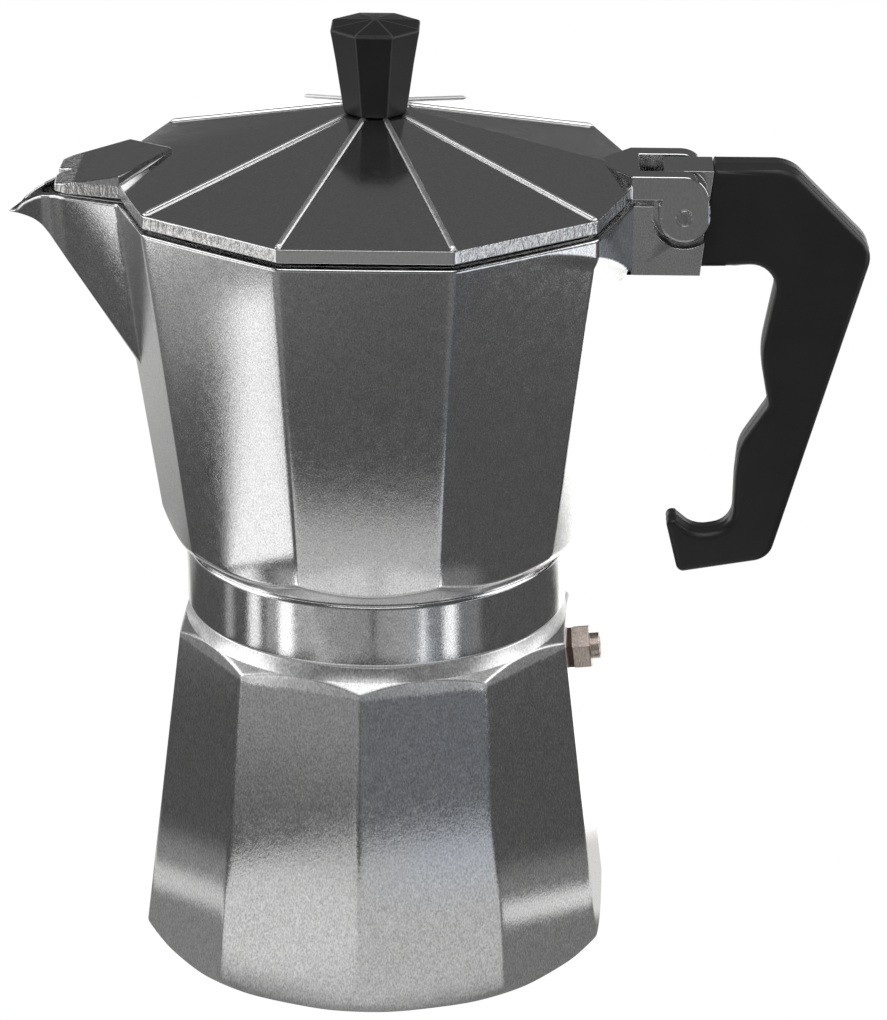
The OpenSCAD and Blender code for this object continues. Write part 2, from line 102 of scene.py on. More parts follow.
camera = turned_camera(place=(30.1, -774.5, 403.4), yaw=0.013, pitch=-0.3853, roll=0.007,
                       lens=143.73, shift=(-0.0302, 0.0064))
print("camera at", [round(v, 3) for v in camera.location])

# %% [markdown]
# ## Driving sizes
# The boiler and the chamber are ten-sided castings with turned parts between them. A few radii and
# heights say where the facets begin and end. Heights that the frame knows are read from it.

# %% Sizes, in millimetres
SIDES = 10
APOTHEM = np.cos(np.pi / SIDES)
boiler_turn = np.radians(-2.6)
base_r, corner_r, corner_z = 50.0, 41.5, 67.5
shoulder = np.tan(np.radians(38))
waist_r, band_r = 38.9, 38.5
neck_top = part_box("boiler")[1].z / MM
waist_z = neck_top - 10.5
waist_top = waist_z + 13.0
neck_bore = 32.4
pin_drop = 2.5
rim_z = (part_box("hinge_pin")[0].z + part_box("hinge_pin")[1].z) / 2 / MM + pin_drop
rim_r, low_r = 54.1, 44.0
low_z = waist_top + low_r - waist_r
floor_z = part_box("coffee_column")[0].z / MM + 2.4
pin_x = (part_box("hinge_pin")[0].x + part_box("hinge_pin")[1].x) / 2 / MM
pin_z = rim_z - pin_drop
thread_pitch = 4.0
lid_low = rim_z + 1.0
lid_edge = lid_low + 2.8
lid_r, lid_flat, lid_top = 53.9, 8.0, lid_low + 14.8
knob_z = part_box("knob")[0].z / MM
print("waist at", round(waist_z, 2), "rim at", round(rim_z, 2), "pin at", round(pin_x, 2))

# %% [markdown]
# ## From arrays to meshes
# Most pieces are one closed skin: rows of points that run round the axis. A grid of points becomes
# quads in one go, and the rows may close on themselves or end in a point.

# %% Grid helper
SAME_POINT = 2e-7


def grid_object(name, points, closed_rows=False, poles=(False, False), caps=False):
    """Rows of points round an axis, joined to quads. closed_rows joins the last row to the first;
    a pole closes an end with a fan to the row's middle point, and caps closes both with flat faces."""
    rows, cols = points.shape[:2]
    index = np.arange(rows * cols).reshape(rows, cols)
    right = np.roll(index, -1, axis=1)
    up = np.roll(index, -1, axis=0) if closed_rows else index[1:]
    up_right = np.roll(up, -1, axis=1)
    low, low_right = (index, right) if closed_rows else (index[:-1], right[:-1])
    quads = np.stack([low, low_right, up_right, up], axis=-1).reshape(-1, 4).tolist()
    verts = points.reshape(-1, 3)
    for end, row in ((0, 0), (1, rows - 1)):
        if poles[end]:
            verts = np.vstack([verts, points[row].mean(axis=0)])
            centre = np.full(cols, len(verts) - 1)
            fan = (centre, right[row], index[row]) if end == 0 else (centre, index[row], right[row])
            quads += np.stack(fan, axis=-1).tolist()
    if caps:
        quads += [index[0][::-1].tolist(), index[-1].tolist()]
    mesh = bpy.data.meshes.new(name)
    mesh.from_pydata((verts * MM).tolist(), [], quads)
    mesh.validate()
    tidy = bmesh.new()
    tidy.from_mesh(mesh)
    bmesh.ops.remove_doubles(tidy, verts=tidy.verts, dist=SAME_POINT)
    bmesh.ops.recalc_face_normals(tidy, faces=tidy.faces)
    tidy.to_mesh(mesh)
    tidy.free()
    mesh.shade_smooth()
    piece = bpy.data.objects.new(name, mesh)
    bpy.context.scene.collection.objects.link(piece)
    print(name, len(mesh.polygons), "faces")
    return piece

# %% [markdown]
# Edges of a casting are never knife sharp. Two small functions round them before a mesh exists: a
# soft smallest value where two surfaces cut each other, and a polygon whose corners are rounded the
# same way. A higher crispness gives a sharper corner.

# %% Rounded shapes as functions
corner_crisp = 300


def soft_min(a, b, reach):
    """The smaller of a and b, with a round changeover where they are within reach of each other."""
    mix = np.clip(0.5 + 0.5 * (b - a) / reach, 0, 1)
    return b + (a - b) * mix - reach * mix * (1 - mix)


def soft_max(a, b, reach):
    """The larger of a and b, with a round changeover."""
    return -soft_min(-a, -b, reach)


def polygon_r(theta, apothem, sides, turn, crisp):
    """Radius of a regular polygon at each angle: its apothem over the soft maximum of the cosines to
    its faces. A higher crisp gives a sharper corner."""
    faces = turn + 2 * np.pi * np.arange(sides) / sides
    cosine = np.cos(theta[..., None] - faces)
    top = cosine.max(axis=-1)
    soft = top + np.log(np.exp(crisp * (cosine - top[..., None])).sum(axis=-1)) / crisp
    return apothem / soft


def corner_angles(sides, turn, per_side):
    """Angles round the axis that gather at the polygon's corners."""
    step = np.sin(np.linspace(-1, 1, per_side, endpoint=False) * np.pi / 2)
    centres = turn + 2 * np.pi * np.arange(sides) / sides
    return (centres[:, None] + step * np.pi / sides).ravel()


def ring(r, theta, z):
    """Points at radius r, angle theta and height z, all broadcast together."""
    r, theta, z = np.broadcast_arrays(r, theta, z)
    return np.stack([r * np.cos(theta), r * np.sin(theta), z], axis=-1)


def spread(*stops):
    """Values from stop to stop: each stop is a value and the number of steps to the next one."""
    parts = [np.linspace(a, b, n, endpoint=False) for (a, n), (b, _) in zip(stops, stops[1:])]
    return np.concatenate(parts + [[stops[-1][0]]])


def thread(theta, z):
    """A rounded right-hand screw ridge, from 0 to 1, that climbs one pitch each turn: half of 1 plus
    the cosine of the turns by which the height is ahead of the angle."""
    return 0.5 + 0.5 * np.cos(2 * np.pi * (z / thread_pitch - theta / (2 * np.pi)))


corner_kept = polygon_r(np.array([np.pi / SIDES]), APOTHEM, SIDES, 0.0, corner_crisp)[0]
print("a ten-sided corner keeps", round(float(corner_kept), 4), "of its radius")

# %% [markdown]
# ## The boiler
# The real boiler is a die casting that is turned at both ends: the lathe cuts the facets off in a
# cone at the shoulder and in a chamfer at the base, which leaves the arched tops and the curved
# foot. The same happens here: the facets' radius and the turned radius are compared at each height.

# %% Boiler surface
foot_cut, foot_soft, shoulder_soft = 2.2, 0.8, 0.45


def boiler_surface():
    """One skin round the axis. Outside, the radius at each height is the soft minimum of three: the
    facets, a ten-sided polygon whose apothem falls in a straight line with height; the turned foot, a
    cone that opens a millimetre for each millimetre of height; and the turned shoulder, a cone at 38
    degrees to the level. It is never less than the band's radius. Over the band the neck is a cylinder
    with the thread's ridge on it, and the profile then leads down inside to the floor."""
    theta = corner_angles(SIDES, boiler_turn, 30)[None, :]
    z = spread((0.0, 12), (5.5, 34), (64.5, 56), (waist_z - 3.2, 10))[:, None]
    facet_apothem = (base_r - (base_r - corner_r) * z / corner_z) * APOTHEM
    facets = polygon_r(theta, 1.0, SIDES, boiler_turn, corner_crisp) * facet_apothem
    turned_foot = base_r - foot_cut + z
    turned_top = band_r + (corner_z + (corner_r - band_r) * shoulder - z) / shoulder
    outside = soft_min(soft_min(facets, turned_foot, foot_soft), turned_top, shoulder_soft)
    outside = soft_max(outside, band_r + 0 * z, 0.5)
    rows = [ring(outside, theta, z)]
    base = [(46.8, 0.0), (41.0, 0.0), (40.4, 0.5), (25.0, 0.5), (6.0, 0.5), (0.6, 0.5)]
    under = [ring(r, theta, h)[0:1] for r, h in (np.array(b)[:, None, None] for b in base[::-1])]
    band = [(band_r, waist_z - 0.5), (band_r - 0.15, waist_z - 0.12), (band_r - 0.5, waist_z - 0.05),
            (34.6, waist_z - 0.05), (34.1, waist_z + 0.2)]
    band_rows = [ring(r, theta, h) for r, h in (np.array(b)[:, None, None] for b in band)]
    neck_z = np.linspace(waist_z + 0.5, neck_top - 0.4, 44)[:, None]
    fade = np.clip(np.minimum(neck_z - waist_z - 0.5, neck_top - 0.4 - neck_z) / 1.2, 0, 1)
    neck = ring(34.0 + 1.0 * fade * thread(theta, neck_z) ** 2, theta, neck_z)
    inside = [(33.7, neck_top - 0.05), (33.2, neck_top), (neck_bore + 0.3, neck_top),
              (neck_bore, neck_top - 0.3), (neck_bore, 69.0), (neck_bore + 0.4, 67.6), (36.2, 65.4),
              (36.8, 64.0), (39.5, 40.0), (43.2, 10.0), (43.4, 6.5), (41.5, 3.8), (38.0, 3.0),
              (1.0, 3.0)]
    inner = [ring(r, theta, h) for r, h in (np.array(b)[:, None, None] for b in inside)]
    skin = np.concatenate([*(u.reshape(1, -1, 3) for u in under), *rows,
                           *(b.reshape(1, -1, 3) for b in band_rows), neck,
                           *(i.reshape(1, -1, 3) for i in inner)])
    return grid_object("boiler_body", skin, poles=(True, True))


boiler = boiler_surface()

# %% [markdown]
# ## The chamber
# The upper casting is one skin as well. Below the rim its radius depends on angle and height: ten
# facets, a round flare that the lathe cut under them, the waist with the thread inside, the spout
# and the thickened corner under the hinge. The rim sinks where the spout's lip does. Because each
# angle meets every surface once, the outside and the inside are two sheets joined at the rim.

# %% [markdown]
# The spout is given by a few measured stations along its middle line: how far out each is, how wide
# the mouth is there, and how far below the rim its lip and its keel lie. A ray from the axis, searched
# in small steps, tells where it leaves the spout.

# %% Spout
spout_at = np.array([44, 49.8, 61.6, 64.2, 66.3, 68.4, 70.6, 72.6])
spout_half = np.array([15.2, 12.9, 8.4, 6.6, 4.6, 3.4, 2.0, 0.5])
lip_drop = np.array([[44, 63.5, 66.3, 68.4, 70.6, 72.6], [0, 0, 0.8, 1.8, 3.3, 5.4]])
keel_drop = np.array([[44, 48.1, 65, 66.8, 68.7, 72.6], [43.2, 36.8, 10.3, 8.1, 6.8, 5.7]])
search_x = np.linspace(43.0, 73.2, 640)
spout_span, spout_wall = np.radians(17.5), 1.8


def last_crossing(inside):
    """Where a row of values along search_x last falls through zero, or 0 if it is never above it."""
    held = inside > 0
    last = held.shape[-1] - 2 - np.argmax(held[..., -2::-1], axis=-1)
    here = np.take_along_axis(inside, last[..., None], -1)[..., 0]
    beyond = np.take_along_axis(inside, last[..., None] + 1, -1)[..., 0]
    share = here / np.maximum(here - beyond, 1e-9)
    found = search_x[last] + np.clip(share, 0, 1) * (search_x[1] - search_x[0])
    return np.where(held[..., :-1].any(axis=-1), found, 0.0)


def spout_top(phi, inset):
    """Height of the rim over each angle from the spout's middle line: the rim's height less the drop of
    the lip where the ray at that angle leaves the mouth."""
    half = np.interp(search_x, spout_at, spout_half) - inset
    x = last_crossing(half - search_x * np.tan(phi)[:, None])
    return rim_z - np.where(x > 0, np.interp(x, *lip_drop), 0.0), x / np.cos(phi)


def spout_reach(phi, z, inset):
    """Distance from the axis at which the spout's wall is met, at angle phi and height z: the last
    point along the ray that is inside the width at that height, under the lip and over the keel."""
    half = np.maximum(np.interp(search_x, spout_at, spout_half) - inset, 0)
    lip = rim_z - np.interp(search_x, *lip_drop)
    keel = np.minimum(rim_z - np.interp(search_x, *keel_drop) + 1.6 * inset, lip - 0.15)
    up = np.clip((z[..., None] - keel) / (lip - keel), 0, 1)
    width = half * (0.4 + 0.6 * up) * np.minimum(1, up / 0.08) ** 0.5
    inside = width - search_x * np.tan(phi)[None, :, None]
    inside = np.minimum(inside, np.minimum(lip - z[..., None] + 0.02, (z[..., None] - keel) * 2))
    return last_crossing(inside) / np.cos(phi)[None]


print("the lip falls to", spout_top(np.zeros(1), 0.0)[0].round(2), "from", round(rim_z, 2))

# %% [markdown]
# The columns of the chamber's grid gather at its corners and at the spout. Its faces aren't quite flat:
# each is crowned by half a percent, as cast and polished faces are.

# %% Angles round the chamber
facet_crown = 0.005


def chamber_angles():
    """Angles that gather at the ten corners, with 121 more over the spout, where a cubic mixed with a
    straight line sets them closer in the middle."""
    t = np.linspace(-1, 1, 121)
    fine = np.pi + np.radians(17.4) * (0.4 * t ** 3 + 0.6 * t)
    corners = corner_angles(SIDES, np.pi / SIDES, 24) % (2 * np.pi)
    return np.unique(np.round(np.concatenate([corners, fine]), 5))


def crowned_decagon(theta):
    """Radius of a ten-sided polygon of radius 1, swollen by a parabola across each face."""
    unit = polygon_r(theta, APOTHEM, SIDES, np.pi / SIDES, corner_crisp)
    across = (theta % (2 * np.pi / SIDES)) / (np.pi / SIDES) - 1
    return unit * (1 + facet_crown * (1 - across ** 2))


print("angles round the chamber:", len(chamber_angles()))

# %% [markdown]
# The rows run up the outside from the waist to the rim, over it, down the inside, across the floor to
# the column's boss, and back through the thread to the waist, so the skin closes on itself.

# %% Chamber surface
inner_wall, seat_over_neck, split = 2.5, 3.35, 112.0


def chamber_surface():
    """One skin, with its radius as a function of angle and height. Outside it is the soft minimum of
    the facets, whose size grows in a straight line from low_r at low_z to rim_r at the rim, and the
    flare, a 45-degree cone over the waist; then the larger of that and the spout's reach. Under the
    hinge it is blended out to the rim's radius. Inside it is the facets less the wall. Rows above the
    split share out the height up to the rim, which is lower at the spout."""
    theta = chamber_angles()
    unit = crowned_decagon(theta)
    phi = abs(theta - np.pi)
    near = phi < spout_span
    taper = (rim_r - low_r) / (rim_z - low_z)
    seat = neck_top + seat_over_neck

    def with_spout(body, z, inset):
        """The larger of the body's radius and the spout's reach, at the angles near the spout."""
        reach = np.zeros_like(body)
        reach[:, near] = spout_reach(phi[near], z[:, near], inset)
        return np.where(reach > 1, soft_max(body, reach, 0.5), body)

    def outside(z):
        """The outer radius at each height and angle; thick is 1 in the corner under the hinge."""
        body = unit * (low_r + (z - low_z) * taper)
        body = soft_min(body, waist_r - 0.35 + z - waist_top, 0.6)
        y = abs(52.0 * np.sin(theta))
        under = rim_z - 14.4 + np.maximum(y - 10, 0) * (10.3 / 22)
        thick = np.clip((z - under + 1.5) / 3.0, 0, 1) * (np.cos(theta) > 0.3)
        thick = thick * thick * (3 - 2 * thick)
        return with_spout(body + (unit * rim_r - body) * thick, z, 0.0)

    top_out, _ = spout_top(phi, 0.0)
    top_in, _ = spout_top(phi, spout_wall)
    top_out, top_in = np.where(near, top_out, rim_z), np.where(near, top_in, rim_z)
    waist = [(waist_r - 0.4, waist_z), (waist_r - 0.12, waist_z + 0.1), (waist_r, waist_z + 0.4),
             (waist_r, waist_z + 0.6), (waist_r, waist_z + 3), (waist_r, waist_top - 3),
             (waist_r, waist_top - 0.75), (waist_r, waist_top - 0.55),
             (waist_r - 0.06, waist_top - 0.3), (waist_r - 0.22, waist_top - 0.1)]
    rows = [ring(r, theta, h) for r, h in waist]
    low = spread((waist_top, 26), (low_z + 2, 14), (split, 1))[:, None] + 0 * theta
    share = np.linspace(0, 1, 96)[1:, None]
    inner_share = np.linspace(0, 1, 49)[1:, None]
    high = split + (top_out - 0.25 - split) * share
    skin_low, skin_high = outside(low), outside(high)
    rows += list(ring(skin_low, theta, low)) + list(ring(skin_high, theta, high))
    last = skin_high[-1]

    def inside(z):
        """The inner radius: the facets less the wall, with the spout's hollow."""
        return with_spout(unit * (low_r + (z - low_z) * taper - inner_wall), z, spout_wall)

    inner_high = split + (top_in - 0.25 - split) * inner_share[::-1]
    inner_low = spread((split, 10), (floor_z + 3.0, 1))[:, None] + 0 * theta
    in_high, in_low = inside(inner_high), inside(inner_low)
    first = in_high[0]
    for r, h in ((last - 0.08, top_out - 0.08), (last - 0.25, top_out), (first + 0.25, top_in),
                 (first + 0.08, top_in - 0.08)):
        rows.append(ring(r, theta, h))
    rows += list(ring(in_high, theta, inner_high)) + list(ring(in_low, theta, inner_low))
    foot = in_low[-1]
    rows += [ring(foot - 0.8, theta, floor_z + 0.9), ring(foot - 3.0, theta, floor_z)]
    turned = [(11.0, floor_z), (8.6, floor_z + 1.0), (8.3, floor_z + 3.6), (7.9, floor_z + 4.0),
              (5.5, floor_z + 4.0), (5.5, seat + 2.0), (30.0, seat + 2.0), (30.0, seat), (35.3, seat)]
    rows += [ring(r, theta, h) for r, h in turned]
    thread_z = np.linspace(seat - 0.3, waist_z + 0.5, 36)[:, None]
    fade = np.clip(np.minimum(seat - thread_z, thread_z - waist_z) / 1.2, 0, 1)
    rows += list(ring(35.3 + 0.8 * fade * (1 - thread(theta, thread_z) ** 2), theta, thread_z))
    rows.append(ring(35.9, theta, waist_z))
    return grid_object("chamber_body", np.stack(rows), closed_rows=True)


chamber = chamber_surface()

# %% [markdown]
# ## Pieces that keep the packed shape
# Where the packed model already has the right outline, its flat faces are merged and every edge gets
# the small radius that casting or moulding leaves. The eased copy then stands for the node.

# %% Eased copies
sharp_angle, eased_angle, flat_angle = np.radians([13, 24, 0.8]).tolist()
PACKED_SAME_POINT = 3e-6


def eased_copy(node, name, width, segments=3, keep=None, clamp=True):
    """The node's own shape, with faces merged where they are flat and edges rounded by width. keep is
    a box in millimetres: only faces whose middle lies in it stay, and the cut is closed. clamp stops
    the rounding where it would meet its neighbour's."""
    mesh = bpy.data.meshes.new(name)
    tidy = bmesh.new()
    tidy.from_mesh(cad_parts[node].data)
    bmesh.ops.remove_doubles(tidy, verts=tidy.verts, dist=PACKED_SAME_POINT)
    bmesh.ops.dissolve_limit(tidy, angle_limit=flat_angle, verts=tidy.verts, edges=tidy.edges)
    if keep:
        middles = np.array([face.calc_center_median() for face in tidy.faces]) / MM
        outside = ((middles < keep[0]) | (middles > keep[1])).any(axis=1)
        gone = [face for face, out in zip(tidy.faces, outside) if out]
        bmesh.ops.delete(tidy, geom=gone, context="FACES")
        bmesh.ops.holes_fill(tidy, edges=tidy.edges, sides=0)
        bmesh.ops.recalc_face_normals(tidy, faces=tidy.faces)
    tidy.to_mesh(mesh)
    tidy.free()
    mesh.shade_smooth()
    mesh.set_sharp_from_angle(angle=sharp_angle)
    piece = bpy.data.objects.new(name, mesh)
    bpy.context.scene.collection.objects.link(piece)
    ease = piece.modifiers.new("eased edges", "BEVEL")
    ease.width, ease.segments = width * MM, segments
    ease.limit_method, ease.angle_limit = "ANGLE", eased_angle
    ease.harden_normals, ease.use_clamp_overlap = True, clamp
    print(name, len(mesh.polygons), "merged faces")
    return piece


lug_box = ((51.5, -10.4, 140.0), (90.0, 10.4, 170.0))
lug = eased_copy("upper_chamber", "hinge_lug", 0.35, segments=4, keep=lug_box)
lid = eased_copy("lid", "lid_casting", 0.3, clamp=False)
valve = eased_copy("valve_body", "valve_nut", 0.2)
pin = eased_copy("hinge_pin", "hinge_pin_turned", 0.15)

# %% [markdown]
# ## The handle
# The real handle is one bakelite moulding: a flat outline with finger waves, thicker at the top than
# at the hook, with round edges and a faint line where the two halves of the mould met. Sweeping a
# rounded edge round the outline gives all of that, so no two sides need to be fitted to each other.

# %% Handle outline
def rounded_outline(corners, steps=10):
    """Corners [x, z, radius] joined by arcs. Each arc's centre lies on the corner's bisector, and its
    points swing evenly from one touching point to the other."""
    at, radius = corners[:, :2], corners[:, 2:3]
    to_last, to_next = np.roll(at, 1, axis=0) - at, np.roll(at, -1, axis=0) - at
    to_last /= np.linalg.norm(to_last, axis=1, keepdims=True)
    to_next /= np.linalg.norm(to_next, axis=1, keepdims=True)
    half = np.arccos(np.clip((to_last * to_next).sum(axis=1, keepdims=True), -1, 1)) / 2
    middle = to_last + to_next
    centre = at + middle / np.linalg.norm(middle, axis=1, keepdims=True) * radius / np.sin(half)
    start = at + to_last * radius / np.tan(half) - centre
    end = at + to_next * radius / np.tan(half) - centre
    swing = np.pi - 2 * half
    t = np.linspace(0, 1, steps)[None, :, None]
    swing = swing[:, None, :]
    arc = (start[:, None] * np.sin(swing * (1 - t)) + end[:, None] * np.sin(swing * t)) / np.sin(swing)
    return (centre[:, None] + arc).reshape(-1, 2), np.repeat(radius[:, 0], steps)


def swept_edge(name, outline, reach, half_thick, ease, seam=0.06):
    """A plate in the XZ plane: the outline is pulled in by a quarter circle at both faces, and stands
    proud by the seam in the middle. half_thick is the half thickness at each outline point."""
    along = np.roll(outline, -1, axis=0) - np.roll(outline, 1, axis=0)
    along /= np.linalg.norm(along, axis=1, keepdims=True)
    across, up = outline.T
    area = (across * np.roll(up, -1) - np.roll(across, -1) * up).sum()
    inward = np.stack([-along[:, 1], along[:, 0]], axis=1) * np.sign(area)
    bend = np.radians(spread((0, 6), (90, 1)))
    quarter = np.concatenate([[1.25], 1 - np.sin(bend)])
    pulled = np.concatenate([quarter, [0, -seam / ease, 0], quarter[::-1]])
    depth = np.concatenate([[0], 1 - np.cos(bend)])
    pull = reach[None, :] * pulled[:, None]
    y_face = half_thick[None, :] - reach[None, :] * depth[:, None]
    seam_y = np.array([0.25, 0.0, -0.25])[:, None] + 0 * half_thick
    y = np.concatenate([y_face, seam_y, -y_face[::-1]])
    place = outline[None] + inward[None] * pull[..., None]
    points = np.stack([place[..., 0], y, place[..., 1]], axis=-1)
    return grid_object(name, points, caps=True)


handle_corners = np.array([
    [67.1, 5.9, 0.6], [82.3, 6, 7], [99.2, -10.9, 6], [80.5, -77.8, 4.5], [61.9, -81, 1.6],
    [59, -69, 1.2], [61.2, -69.2, 1], [65.2, -72.4, 6], [72.8, -71, 4.6], [73.0, -60, 26],
    [73.6, -53.2, 9], [79.3, -44.3, 1.8], [77.3, -33.5, 20], [80.9, -13.8, 5], [70, -14.4, 12],
    [64.6, -14.4, 0.6]])
outline, corner_radius = rounded_outline(handle_corners)
outline[:, 1] += rim_z
edge = np.clip(corner_radius * 0.7, 0.4, 1.4)
for _ in range(3):
    edge = (np.roll(edge, 1) + edge + np.roll(edge, -1)) / 3
half_thick = np.interp(outline[:, 1], [rim_z - 81, rim_z + 6], [3.5, 4.8])
handle = swept_edge("handle_moulding", outline, edge, half_thick, 1.4)

# %% [markdown]
# ## The knob
# An eight-sided moulding that widens upwards, with a roof of eight shallow faces. It is one skin:
# the radius of a rounded octagon at each height, closed by rows that run in to the roof's point.

# %% Knob surface
def knob_surface():
    """An octagon of radius 1 with rounded corners, times the radius that the profile gives at each
    height over the knob's foot. Both ends close in a point on the axis."""
    theta = corner_angles(8, 0.0, 16)[None, :]
    unit = polygon_r(theta, np.cos(np.pi / 8), 8, 0.0, 260)
    profile = np.array([
        (0.4, 0.0), (5.6, 0.0), (6.2, 0.08), (6.55, 0.35), (6.75, 0.8), (7.5, 5.6), (8.3, 10.8),
        (9.12, 15.4), (9.36, 16.6), (9.42, 17.0), (9.36, 17.3), (9.2, 17.52), (8.95, 17.64),
        (8.6, 17.72), (4.4, 18.2), (1.2, 18.56), (0.3, 18.62)])
    rows = [ring(r * unit, theta, knob_z + h)[0] for r, h in profile]
    return grid_object("knob_moulding", np.stack(rows), poles=(True, True))


knob = knob_surface()

# %% [markdown]
# ## Ribs
# Eight ribs run down the lid's corners. Their metal is a paler, rougher copy of the lid's, a painted
# highlight that keeps them white. The two corners over the spout and the hinge have none.

# %% Ribs
rib_high, rib_half, rib_flank, rib_sunk = 0.62, 0.78, 0.55, 0.3


def lid_rib(turn):
    """A flat-topped ridge: across it the height climbs smoothly, stays level and falls again, and along
    it the ridge follows the lid's corner line from the knob's foot to the rim, where it fades."""
    stops = (lid_flat - 1.0, 4), (lid_flat + 2.0, 30), (lid_r - 2.0, 6), (lid_r - 0.35, 1)
    along = spread(*stops)[:, None]
    across = np.linspace(-1, 1, 17)[None, :]
    fade = np.clip((lid_r - 0.3 - along) / 0.8, 0, 1) ** 0.5
    slope = (lid_top - lid_edge) / (lid_r - lid_flat)
    base = lid_top - slope * (np.maximum(along, lid_flat) - lid_flat)
    flank = np.clip((1 - abs(across)) / rib_flank, 0, 1)
    hump = flank * flank * (3 - 2 * flank) * rib_high * fade
    z = base - 0.12 - 0.1 * abs(across) + hump
    y = across * rib_half + 0 * along
    x = along + 0 * across
    c, s = np.cos(turn), np.sin(turn)
    top = np.stack([x * c - y * s, x * s + y * c, z], axis=-1)
    under = top[:, ::-1].copy()
    under[..., 2] = base - rib_sunk
    return np.concatenate([top, under], axis=1)


def all_ribs():
    """The same ridge turned by each multiple of a tenth of a turn but two, joined in one mesh."""
    turns = [k * 2 * np.pi / SIDES for k in range(SIDES) if k not in (0, SIDES // 2)]
    ribs = [grid_object("rib", lid_rib(turn), caps=True) for turn in turns]
    joined = bmesh.new()
    for rib in ribs:
        joined.from_mesh(rib.data)
        bpy.data.objects.remove(rib)
    mesh = bpy.data.meshes.new("lid_ribs")
    joined.to_mesh(mesh)
    joined.free()
    mesh.shade_smooth()
    piece = bpy.data.objects.new("lid_ribs", mesh)
    bpy.context.scene.collection.objects.link(piece)
    return piece


ribs = all_ribs()

# %% [markdown]
# ## Hinge ears
# The lid's fork ends in two ears that turn about the pin. Each is a thick plate with a round foot, so
# it is swept like the handle, without the mould's seam.

# %% Hinge ears
ear_r, ear_ease, ear_half, ear_out, ear_top = 5.1, 0.3, 2.05, 7.9, 2.4


def hinge_ear(side):
    """A round ear about the pin: half a circle swept with an eased edge, closed flat at its top."""
    angle = np.radians(spread((180, 40), (360, 1)))
    disc = np.stack([pin_x + ear_r * np.cos(angle), pin_z + ear_r * np.sin(angle)], axis=1)
    top = np.array([[pin_x + 4.9, pin_z + ear_top], [pin_x - ear_r, pin_z + ear_top]])
    shape = np.concatenate([disc, top])
    count = len(shape)
    ear = swept_edge("hinge_ear_" + side, shape, np.full(count, ear_ease), np.full(count, ear_half),
                     ear_ease, seam=0.0)
    ear.data.transform(Matrix.Translation((0, (1 if side == "far" else -1) * ear_out * MM, 0)))
    return ear


ears = [hinge_ear("near"), hinge_ear("far")]

# %% [markdown]
# ## Shader maths
# A small wrapper lets a material be written as an expression. It holds one socket, and plain maths on
# it adds Math nodes to the same material. Every other node comes from one method.

# %% Socket wrapper
class Value:
    """One node output, or a number on its way to be one."""

    def __init__(self, tree, socket):
        self.tree, self.socket = tree, socket

    def maths(self, kind, *terms):
        """Adds one Math node of a kind and links or sets its terms."""
        node = self.tree.nodes.new("ShaderNodeMath")
        node.operation = kind
        for slot, term in zip(node.inputs, terms):
            feed(self.tree, slot, term)
        return Value(self.tree, node.outputs[0])

    def __add__(self, other): return self.maths("ADD", self, other)
    def __radd__(self, other): return self.maths("ADD", other, self)
    def __sub__(self, other): return self.maths("SUBTRACT", self, other)
    def __rsub__(self, other): return self.maths("SUBTRACT", other, self)
    def __mul__(self, other): return self.maths("MULTIPLY", self, other)
    def __rmul__(self, other): return self.maths("MULTIPLY", other, self)
    def __truediv__(self, other): return self.maths("DIVIDE", self, other)
    def __pow__(self, other): return self.maths("POWER", self, other)
    def __neg__(self): return self.maths("MULTIPLY", self, -1.0)
    def __abs__(self): return self.maths("ABSOLUTE", self)

    def step(self, low, high):
        """0 below low, 1 above high, and a smooth climb between."""
        return node_in(self.tree, "ShaderNodeMapRange", {"interpolation_type": "SMOOTHSTEP"},
                       {"Value": self, "From Min": low, "From Max": high})


def feed(tree, slot, term):
    """Links a Value to a socket, or sets the socket's own value."""
    if isinstance(term, Value):
        tree.links.new(term.socket, slot)
    elif term is not None:
        slot.default_value = term


def node_in(tree, kind, settings=None, inputs=None, output=0):
    """Adds a node of one type, with its settings first and then its sockets; gives one output."""
    node = tree.nodes.new(kind)
    for key, value in (settings or {}).items():
        setattr(node, key, value)
    for key, value in (inputs or {}).items():
        feed(tree, node.inputs[key], value)
    return Value(tree, node.outputs[output])


print("socket wrapper:", [name for name in vars(Value) if not name.startswith("_")])

# %% [markdown]
# A finish is one material under construction. It knows the place on the piece, has the patterns that
# the finishes share, and sets the shader's sockets.

